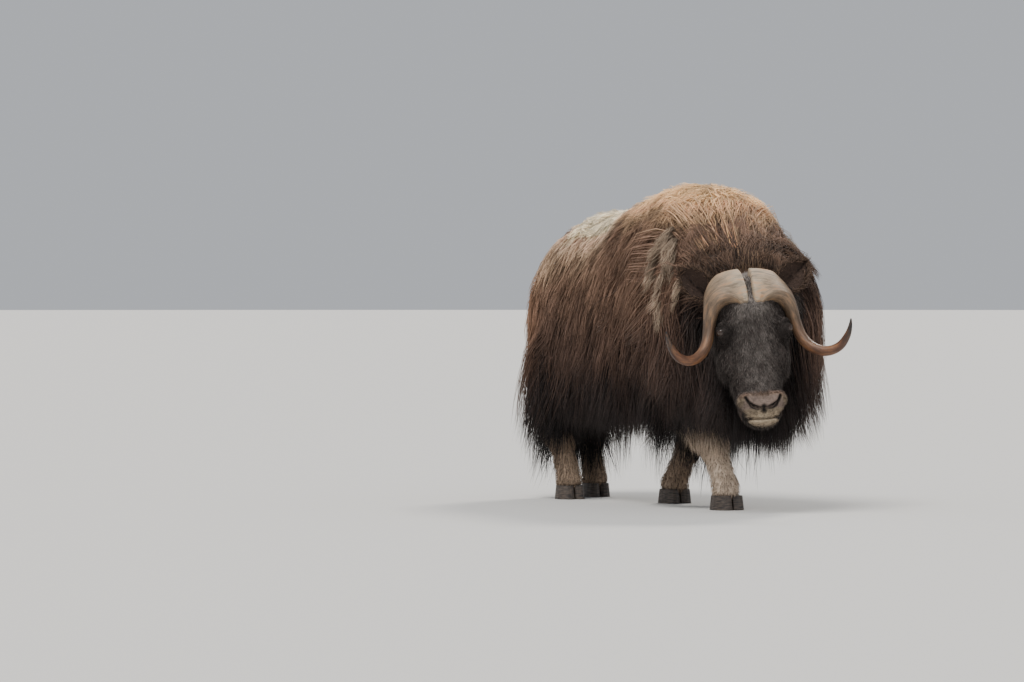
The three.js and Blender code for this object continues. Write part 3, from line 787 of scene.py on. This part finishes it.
def tufts(name, lines, outs, width, shaded_root_colour, tip_colour, spots, tile, material):
    """Builds one coat piece: a closed strand of three sides for each line, with painted shade towards its root.
    """
    count, rings = lines.shape[:2]
    s = np.linspace(0, 1, rings)
    profile = (0.55 + 0.45 * np.minimum(1, 4 * s)) * (1 - s ** 2.2)
    tangent = unit(np.gradient(lines, axis=1))
    side = unit(np.cross(tangent, outs))
    out = np.cross(side, tangent)
    half = (width[:, None] * profile[None, :])[..., None]
    corners = np.stack((lines + side * half, lines - side * half, lines + out * half * 0.7), axis=2)
    body = corners[:, :-1].reshape(count, -1, 3)
    tip = lines[:, -1:]
    vertices = np.concatenate((body, tip), axis=1)
    per = vertices.shape[1]
    faces = [(0, 2, 1)]
    for r in range(rings - 2):
        for k in range(3):
            a, b = 3 * r + k, 3 * r + (k + 1) % 3
            faces += [(a, b, b + 3), (a, b + 3, a + 3)]
    last = 3 * (rings - 2)
    faces += [(last + k, last + (k + 1) % 3, per - 1) for k in range(3)]
    faces = np.array(faces)[:, ::-1]
    triangles = (np.arange(count)[:, None, None] * per + faces[None]).reshape(-1, 3)
    mesh = bpy.data.meshes.new(name)
    mesh.vertices.add(count * per)
    mesh.vertices.foreach_set("co", vertices.reshape(-1))
    mesh.loops.add(triangles.size)
    mesh.loops.foreach_set("vertex_index", triangles.reshape(-1).astype(np.int32))
    mesh.polygons.add(len(triangles))
    mesh.polygons.foreach_set("loop_start", (np.arange(len(triangles)) * 3).astype(np.int32))
    mesh.polygons.foreach_set("use_smooth", np.ones(len(triangles), bool))
    along = np.concatenate((np.repeat(s[:-1], 3), [1.0]))
    mix = (along ** 1.3)[None, :, None]
    shades = shaded_root_colour[:, None] * (1 - mix) + tip_colour[:, None] * mix
    # Painted shade: each strand darkens towards its root, where the hair around it would shade it.
    shades = shades * (0.35 + 0.65 * np.minimum(1, 1.8 * along))[None, :, None]
    across = np.concatenate((np.tile((0.0, 1.0, 0.5), rings - 1), [0.5]))
    corner = np.column_stack((across, along)) * UV_SIZE
    unwrap = np.array(tile[:2]) + spots * np.array(tile[2:])
    uv = (unwrap[:, None] + corner[None]).reshape(-1, 2)
    mesh.update(calc_edges=True)
    mesh.validate()
    paint(mesh, shades.reshape(-1, 3))
    layer = mesh.uv_layers.new(name="OFBake")
    loop_vertices = np.empty(len(mesh.loops), np.int32)
    mesh.loops.foreach_get("vertex_index", loop_vertices)
    layer.data.foreach_set("uv", uv[loop_vertices].astype(np.float32).ravel())
    mesh.materials.append(material)
    piece = put_in_scene(name, mesh)
    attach(piece, "root")


def vary(rng, count, low, high):
    return low + (high - low) * rng.random(count)


guard_hair = hair_material("guard_hair", 0.6, 0.03, 400.0, 0.0006)
wool = hair_material("mane_wool", 0.75, 0.06, 400.0, 0.0006)
short_hair = hair_material("face_hair", 0.7, 0.03, 500.0, 0.0004)


def lay_coat(name, stations, count, seed, grows, length_of, lift_of, flow_of, *, steps, weight, clump, strength,
             wave, turns, width, tile, material, tousle=0.26, stand=(8, 30), bleach=1.3, parting=False):
    """One stretch of coat, from its roots to its colour, where grows says that it grows on the form."""
    rng = np.random.default_rng(seed)
    roots, normals, spots = scatter(stations, UP, count, grows, rng)
    if parting:
        x, y, z = to_head(roots).T
        keep = (y > 0.15) | (z < -0.36) | (np.abs(x) > 0.3)
        roots, normals, spots = roots[keep], normals[keep], spots[keep]
    local = roots - GROUND
    n = len(roots)
    length = length_of(*local.T) * vary(rng, n, 0.75, 1.15)
    lift = lift_of(*local.T) * vary(rng, n, 0.3, 1.0)
    flow = unit(flow_of(local)) + tousle * rng.normal(size=(n, 3))
    standing = np.radians(vary(rng, n, *stand))
    lines, outs = comb(roots, normals, unit(flow), length, lift, standing, steps, weight, parting)
    lines, leader = gather(lines, clump, strength, rng)
    lines = crimp(lines, outs, leader, wave, turns, rng)
    lines = np.clip(lines, LOW_CORNER + (0, 0, 0.01), HIGH_CORNER + 0.008)
    shade = body_markings(lines[:, lines.shape[1] // 2])
    lock = (rng.random(n)[leader] - 0.5)[:, None]
    fleck = (rng.random(n) - 0.5)[:, None]
    base = shade * (1 + 0.9 * lock + 0.8 * fleck)
    # Painted shade at the roots: 0.7 for dark hair, fading to none for the palest.
    shaded_roots = base * np.clip(shade * 1.4, 0.7, 1.0)
    tufts(name, lines, outs, width * vary(rng, n, 0.6, 1.3), shaded_roots, base * bleach, spots, tile, material)


def flank_flow(local):
    y = local[:, 1]
    back = 0.42 * step(-0.62, -0.2, y) * (1 - step(0.2, 0.55, y))
    return np.column_stack((np.zeros(len(y)), 0.10 + back, -np.ones(len(y))))


def top_flow(local):
    x, y, z = local.T
    front = step(0.45, 0.7, -y)
    side = np.tanh(x * 9)
    return np.column_stack((0.7 * side, 0.9 * (1 - front) * (1 - 0.75 * np.abs(side)),
                            -0.35 - (0.7 + 0.6 * front) * np.abs(side)))


def hem(x, y):
    """Height that the skirt hangs down to, lowest under the chest and over the hocks."""
    front = step(0.30, 0.52, -y)
    rump = step(0.18, 0.42, y)
    stride = 0.16 * np.exp(-((y + 0.70) / 0.10) ** 2) * (x < 0)
    return 0.18 - 0.08 * front - 0.12 * rump - 0.03 * (x > 0) + stride


def coat_length(x, y, z):
    upper = 0.10 + 0.24 * np.clip((1.16 - z) / 0.42, 0, 1)
    return np.where(z < 0.74, np.clip(z - hem(x, y), 0.16, 0.56), upper)


def coat_lift(x, y, z):
    return 0.036 + 0.036 * np.clip((1.2 - z) / 0.4, 0, 1)


STRETCHES = (("upper", 0.72, 1.12, 7000, 4, 0.02, 0), ("lower", 0.46, 0.78, 5900, 5, 0.50, 40))
for side, word, seed in ((-1, "right", 21), (1, "left", 22)):
    for half, foot, top, count, steps, tile_low, seed_step in STRETCHES:
        lay_coat(f"coat_{half}_{word}", TORSO, count, seed + seed_step,
                 lambda x, y, z: (x * side > -0.02) & (z > foot) & (z < top),
                 coat_length, coat_lift, flank_flow, steps=steps, weight=0.7, clump=15, strength=0.6,
                 wave=0.006, turns=1.6, width=0.0022, tile=(0.02 + 0.23 * (side > 0), tile_low, 0.2, 0.4),
                 material=guard_hair)
lay_coat("coat_back", TORSO, 8100, 31, lambda x, y, z: z > 1.04,
         lambda x, y, z: 0.075 + 0.05 * (y < -0.1), lambda x, y, z: 0.034, top_flow, steps=4, weight=0.1,
         clump=12, strength=0.65, wave=0.014, turns=1.3, width=0.0018, tile=(0.5, 0.02, 0.22, 0.4),
         material=wool, tousle=0.45, stand=(25, 60))


# Mane: ropy, crimped wool that pours off the neck behind the ears, and a dark woolly crown over the horns. It
# parts behind the ears and the horns, and nothing of it falls over the face.
def mane_flow(local):
    at_head = to_head(local + GROUND)
    away = unit(at_head * (1, 0, 1))
    crown = (step(0.08, 0.24, at_head[:, 2]) * step(-0.20, -0.09, -np.abs(at_head[:, 0])))[:, None]
    flow = (away * (0.15 + 0.9 * crown) + np.array((0, 1.0, 0)) * (0.15 + 0.3 * crown)) @ HEAD_TURN.T
    return flow + np.array((0, 0, -1.0)) * (1 - 1.05 * crown)


def mane_length(x, y, z):
    return np.where(z > 0.98, 0.15, np.clip(z - 0.20 + 0.08 * (x > 0), 0.22, 0.58))


for side, word, seed in ((-1, "right", 51), (1, "left", 52)):
    lay_coat(f"mane_{word}", NECK, 5600, seed,
             lambda x, y, z: ((x + 0.03) * side > 0) & (z > 0.55) & (z < 1.06) & (y < -0.56),
             mane_length, lambda x, y, z: 0.046 + 0.02 * (x > 0), mane_flow, steps=5, weight=0.9,
             clump=24, strength=0.75, wave=0.012, turns=2.4, width=0.0023,
             tile=(0.5 + 0.24 * (side > 0), 0.5, 0.2, 0.4), material=wool, tousle=0.25,
             parting=True)
lay_coat("crown_wool", NECK, 4600, 57, lambda x, y, z: (z > 0.94) & (y < -0.62), lambda x, y, z: 0.085,
         lambda x, y, z: 0.045, mane_flow, steps=5, weight=0.1, clump=34, strength=0.9, wave=0.011, turns=1.2,
         width=0.0019, tile=(0.75, 0.02, 0.12, 0.4), material=wool, tousle=0.35,
         stand=(25, 55), bleach=1.5, parting=True)


# Ropes of shed wool: pale, matted, wavy cords of fine fleece that the mane has let go of. They hang in three
# strings down each side of the neck, caught in the hair behind the ears.
ROPES = ((-0.700, 1.24, 0.78, 0.007), (-0.765, 1.18, 0.88, 0.006), (-0.635, 1.20, 0.96, 0.006))
rng = np.random.default_rng(59)
starts, normals, spots = [], [], []
for side in (-1, 1):
    for rope, (y, top, foot, thick) in enumerate(ROPES):
        for s in rng.random(170):
            z = top + (foot - top) * s
            along_y = y + 0.020 * math.sin(16 * z + 2 * rope) + thick * rng.normal()
            found, normal, _, _ = skin_tree.find_nearest(ORIGIN + Vector((side * 0.42, along_y, z)))
            starts.append(found)
            normals.append(normal)
            spots.append((0.5 + 0.5 * side * s, rope / 3 + 0.2 * rng.random()))
starts, normals, spots = np.array(starts), np.array(normals), np.array(spots)
n = len(starts)
flow = unit(np.array((0, 0.05, -1.0)) + 0.18 * rng.normal(size=(n, 3)))
length = vary(rng, n, 0.07, 0.13)
lift = vary(rng, n, 0.06, 0.085)
lines, outs = comb(starts, normals, flow, length, lift, np.radians(vary(rng, n, 30, 60)), 5, 0.6, True)
lines, leader = gather(lines, 12, 0.6, rng)
lines = crimp(lines, outs, leader, 0.009, 1.8, rng)
base = 0.45 * body_markings(lines[:, 2]) + 0.55 * ROPE
base = base * (0.4 + 0.5 * rng.random(n)[leader] + 0.4 * rng.random(n))[:, None]
# Painted shade: the roots are darker than the tips.
tufts("neck_ropes", lines, outs, 0.0019 * vary(rng, n, 0.6, 1.2), base * 0.6, base, spots,
      (0.5, 0.92, 0.1, 0.06), wool)


# Beard: the longest guard hair of all, black and straight, that hangs from the throat and the sides of the
# neck in a ruff under the jaw and ends at the hem of the skirt.
lay_coat("beard", NECK, 4600, 61, lambda x, y, z: (z < 0.66) & (y < -0.60),
         lambda x, y, z: np.clip(z - hem(x, y), 0.2, 0.56), lambda x, y, z: 0.03, mane_flow, steps=5,
         weight=1.0, clump=16, strength=0.5, wave=0.008, turns=1.5, width=0.0025, tile=(0.88, 0.02, 0.1, 0.4),
         material=guard_hair, bleach=1.1, parting=True)


# Face hair: a few centimetres long that thins to velvet on the nose, with longer dark hair along the jaw. It
# grows from the skin's own triangles, all but the bare nose pad and the slits between the lids.
rng = np.random.default_rng(71)
skin.data.calc_loop_triangles()
corners = np.empty(len(skin.data.loop_triangles) * 3, np.int32)
skin.data.loop_triangles.foreach_get("vertices", corners)
corners = read_points(skin.data)[corners.reshape(-1, 3)]
facing = np.cross(corners[:, 1] - corners[:, 0], corners[:, 2] - corners[:, 0])
area = np.linalg.norm(facing, axis=1) * is_head(corners.mean(axis=1))
FACE_HAIRS = 11500
pick = rng.choice(len(area), size=FACE_HAIRS, p=area / area.sum())
u, v = np.sqrt(rng.random((FACE_HAIRS, 1))), rng.random((FACE_HAIRS, 1))
a, b, c = corners[pick].transpose(1, 0, 2)
roots = a * (1 - u) + b * (u * (1 - v)) + c * (u * v)
normals = unit(facing[pick])
local = to_head(roots)
x, y, z = local.T
spots = np.column_stack((np.arctan2(x, -y) / (2 * math.pi) + 0.5, (z + 0.4) / 0.7))
eye_gap = np.minimum(np.linalg.norm(local - EYE_MIDDLE, axis=1),
                     np.linalg.norm(local - EYE_MIDDLE * (-1, 1, 1), axis=1))
bare = (z < -0.256) & (y < 0.04) & (z > -0.318) & (np.abs(x) < 0.074)
groove = (np.abs(x) < 0.022) & (y < 0.10)
between_lids = eye_opening(local, 1, 1.15)[0] | eye_opening(local, -1, 1.15)[0]
keep = ~(between_lids & (eye_gap < 0.03)) & ~bare & ((z < 0.21) | groove)
roots, normals, spots, eye_gap = roots[keep], normals[keep], spots[keep], eye_gap[keep]
x, y, z = local[keep].T
n = len(roots)
jaw = np.clip((y - 0.03) / 0.1, 0, 1)
muzzle = step(0.235, 0.265, -z) * step(-0.06, 0.0, -y)
length = 0.016 + 0.018 * np.clip((z + 0.2) / 0.3, 0, 1) + 0.06 * jaw
length = length * (1 - 0.62 * muzzle) * np.clip((eye_gap - 0.012) / 0.04, 0.22, 1) * vary(rng, n, 0.7, 1.2)
lift = (0.006 + 0.012 * jaw - 0.003 * muzzle) * np.clip(eye_gap / 0.05, 0.4, 1)
down = np.array(HEAD_POSE.to_3x3() @ Vector((0, 0.1, -1)))
sideways = np.array(HEAD_POSE.to_3x3() @ Vector((1, 0, 0)))
flow = unit(down + sideways * (2.2 * x[:, None]) + 0.35 * rng.normal(size=(n, 3)))
lines, outs = comb(roots, normals, flow, length, lift, np.radians(vary(rng, n, 12, 38)), 3, 0.2)
lines, leader = gather(lines, 6, 0.35, rng)
base = face_markings(roots) * (1 + 0.6 * (rng.random(n) - 0.5) + 0.3 * (rng.random(n)[leader] - 0.5))[:, None]
frosted = (rng.random(n) < 0.16) & (eye_gap > 0.05) & (muzzle < 0.3)
tips = base * 1.1
tips[frosted] = FROST * vary(rng, frosted.sum(), 0.3, 0.75)[:, None]
# Painted shade: the roots are darker than the tips.
tufts("face_hair", lines, outs, 0.0016 * vary(rng, n, 0.7, 1.2), base * 0.8, tips, spots,
      (0.02, 0.9, 0.2, 0.08), short_hair)


# Ear fringe: soft hair that runs from each ear's root to its tip, dark behind, brown inside and paler along
# the rims, where it stands out.
for side, word in ((1, "left"), (-1, "right")):
    rng = np.random.default_rng(90 + side)
    n = 1100
    t = rng.random(n) ** 0.8 * 0.94 + 0.03
    angle = rng.random(n) * 2 * math.pi
    local = ear_points(t, angle, side)
    e = 0.01
    ahead = ear_points(np.minimum(t + e, 1), angle, side) - local
    beside = ear_points(t, angle + e, side) - local
    normals = unit(np.cross(beside, ahead)) * side
    middle = ear_points(t, np.zeros(n), side) / 2 + ear_points(t, np.full(n, math.pi), side) / 2
    normals = normals * np.where(np.sum(normals * (local - middle), axis=1) < 0, -1, 1)[:, None]
    rim = np.abs(np.sin(angle)) ** 4
    outward = unit(local - middle)
    flow = unit(unit(ahead) + 0.7 * rim[:, None] * outward + 0.3 * rng.normal(size=(n, 3)))
    length = (0.014 + 0.014 * rim) * vary(rng, n, 0.7, 1.3)
    share = np.linspace(0, 1, 4)[None, :, None]
    path = local[:, None] + flow[:, None] * length[:, None, None] * share
    path = path + normals[:, None] * (0.006 * np.sin(share * 2.2) - 0.002 * (1 - share))
    outs = np.repeat((normals @ HEAD_TURN.T)[:, None], 4, axis=1)
    inside = (np.cos(angle) > 0.2)[:, None]
    base = np.where(inside, colour(104, 84, 70), colour(52, 42, 38)) * (0.7 + 0.6 * rng.random((n, 1)))
    base = toward(base, 0.5 * rim, colour(122, 100, 84))
    # Painted shade: the roots are darker than the tips.
    tufts("ear_hair_" + word, from_head(path), outs, 0.0014 * vary(rng, n, 0.7, 1.2), base * 0.7, base * 1.2,
          np.column_stack((angle / (2 * math.pi), t)), (0.62 + 0.07 * (side > 0), 0.92, 0.06, 0.06), short_hair)


# Legs: close pale hair over the cannons and pasterns, longer and darker where it meets the skirt. It lies flat
# on the skin and points down to the hooves.
SKIRT_MEETS = 0.22
for order, (name, stations) in enumerate(LEGS.items()):
    rng = np.random.default_rng(80 + order)
    roots, normals, spots = scatter(stations, FRONT, 2600, lambda x, y, z: z < 0.52, rng)
    n = len(roots)
    high = np.clip(((roots - GROUND)[:, 2] - SKIRT_MEETS) / 0.2, 0, 1)
    length = (0.030 + 0.16 * high) * vary(rng, n, 0.7, 1.2)
    flow = unit(np.array((0, 0.12, -1.0)) + 0.2 * rng.normal(size=(n, 3)))
    standing = np.radians(vary(rng, n, 10, 30))
    lines, outs = comb(roots, normals, flow, length, 0.007 + 0.02 * high, standing, 3, 0.5)
    lines, leader = gather(lines, 8, 0.4, rng)
    fleck = 0.45 * (rng.random(n) - 0.5)
    base = leg_markings(roots) * (1 + fleck + 0.3 * (rng.random(n)[leader] - 0.5))[:, None]
    # Painted shade: the roots are darker than the tips.
    tufts(name + "_hair", lines, outs, 0.002 * vary(rng, n, 0.7, 1.2), base * 0.85, base * 1.1, spots,
          (0.26 + 0.06 * order, 0.92, 0.05, 0.06), short_hair)


# Eyes: dark brown globes with a wet, clear front, set in sockets so that only the part between the lids shows.
# A museum animal's are blown glass, coloured from behind.
wet, tree, shader = new_material("wet_eye")
place = add(tree, "TexCoord")
iris = add(tree, "TexNoise", {"Vector": place.outputs["Object"], "Scale": 140.0})
shade = ramp(tree, iris.outputs["Fac"], ((0.0, (22, 16, 14)), (1.0, (58, 38, 26))))
fill(tree, shader, {"Base Color": shade, "Roughness": 0.06, "Coat Weight": 0.3, "Coat Roughness": 0.02})
for name, side in (("left", 1), ("right", -1)):
    bm = bmesh.new()
    bmesh.ops.create_uvsphere(bm, u_segments=48, v_segments=32, radius=EYE_RADIUS)
    bmesh.ops.translate(bm, vec=EYE_MIDDLE * (side, 1, 1), verts=bm.verts)
    eye = one_mesh("eyeball_" + name, [bm], HEAD_POSE)
    eye.data.shade_smooth()
    eye.data.materials.append(wet)
    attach(eye, "root")
    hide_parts("eye_" + name)


# Hooves: two broad claws of dark, worn keratin on each foot, grown in rings and scuffed where they meet the
# ground. Their shape is the frame's own, which only gets its material here.
claw, tree, shader = new_material("hoof_keratin")
place = add(tree, "TexCoord")
stretch = add(tree, "Mapping", {"Vector": place.outputs["Object"], "Scale": (1.0, 1.0, 5.0)})
rings = add(tree, "TexNoise", {"Vector": stretch.outputs["Vector"], "Scale": 36.0, "Detail": 6.0})
shade = ramp(tree, rings.outputs["Fac"], ((0.35, (38, 32, 30)), (0.75, (96, 84, 74))))
bump = add(tree, "Bump", {"Distance": 0.002, "Height": rings.outputs["Fac"]})
fill(tree, shader, {"Base Color": shade, "Roughness": 0.55, "Normal": bump.outputs["Normal"]})
for name in ("forehoof_left", "forehoof_right", "hindhoof_left", "hindhoof_right"):
    for place in bpy.data.objects[name].material_slots:
        place.material = claw


# Studio: a wide pale floor under broad soft light from above and in front, with a rim light behind the hump.
# All of it is stage, and none of it is part of the animal.
bm = bmesh.new()
bmesh.ops.create_circle(bm, cap_ends=True, segments=96, radius=150.0)
floor_mesh = bpy.data.meshes.new("floor")
bm.to_mesh(floor_mesh)
bm.free()
floor = put_in_scene("floor", floor_mesh)
floor.location = (0, 0, -0.0005)
floor_paint, tree, shader = new_material("pale_floor")
fill(tree, shader, {"Base Color": (0.62, 0.61, 0.59, 1), "Roughness": 0.9})
floor_mesh.materials.append(floor_paint)

world = bpy.data.worlds.new("studio")
world.use_nodes = True
world.node_tree.nodes["Background"].inputs["Color"].default_value = (0.80, 0.83, 0.88, 1)
world.node_tree.nodes["Background"].inputs["Strength"].default_value = 0.62
bpy.context.scene.world = world


def soft_sun(name, source, spread, strength, tint):
    data = bpy.data.lights.new(name, "SUN")
    data.angle = math.radians(spread)
    data.energy = strength
    data.color = tint
    light = put_in_scene(name, data)
    light.rotation_euler = (-Vector(source)).to_track_quat("-Z", "Y").to_euler()


soft_sun("key", (-0.55, -0.30, 1.0), 28.0, 2.9, (1.0, 0.97, 0.93))
soft_sun("rim", (0.75, 0.55, 0.8), 12.0, 2.0, (1.0, 0.95, 0.88))
soft_sun("fill", (-0.2, -1.0, 0.35), 50.0, 0.45, (0.92, 0.96, 1.0))
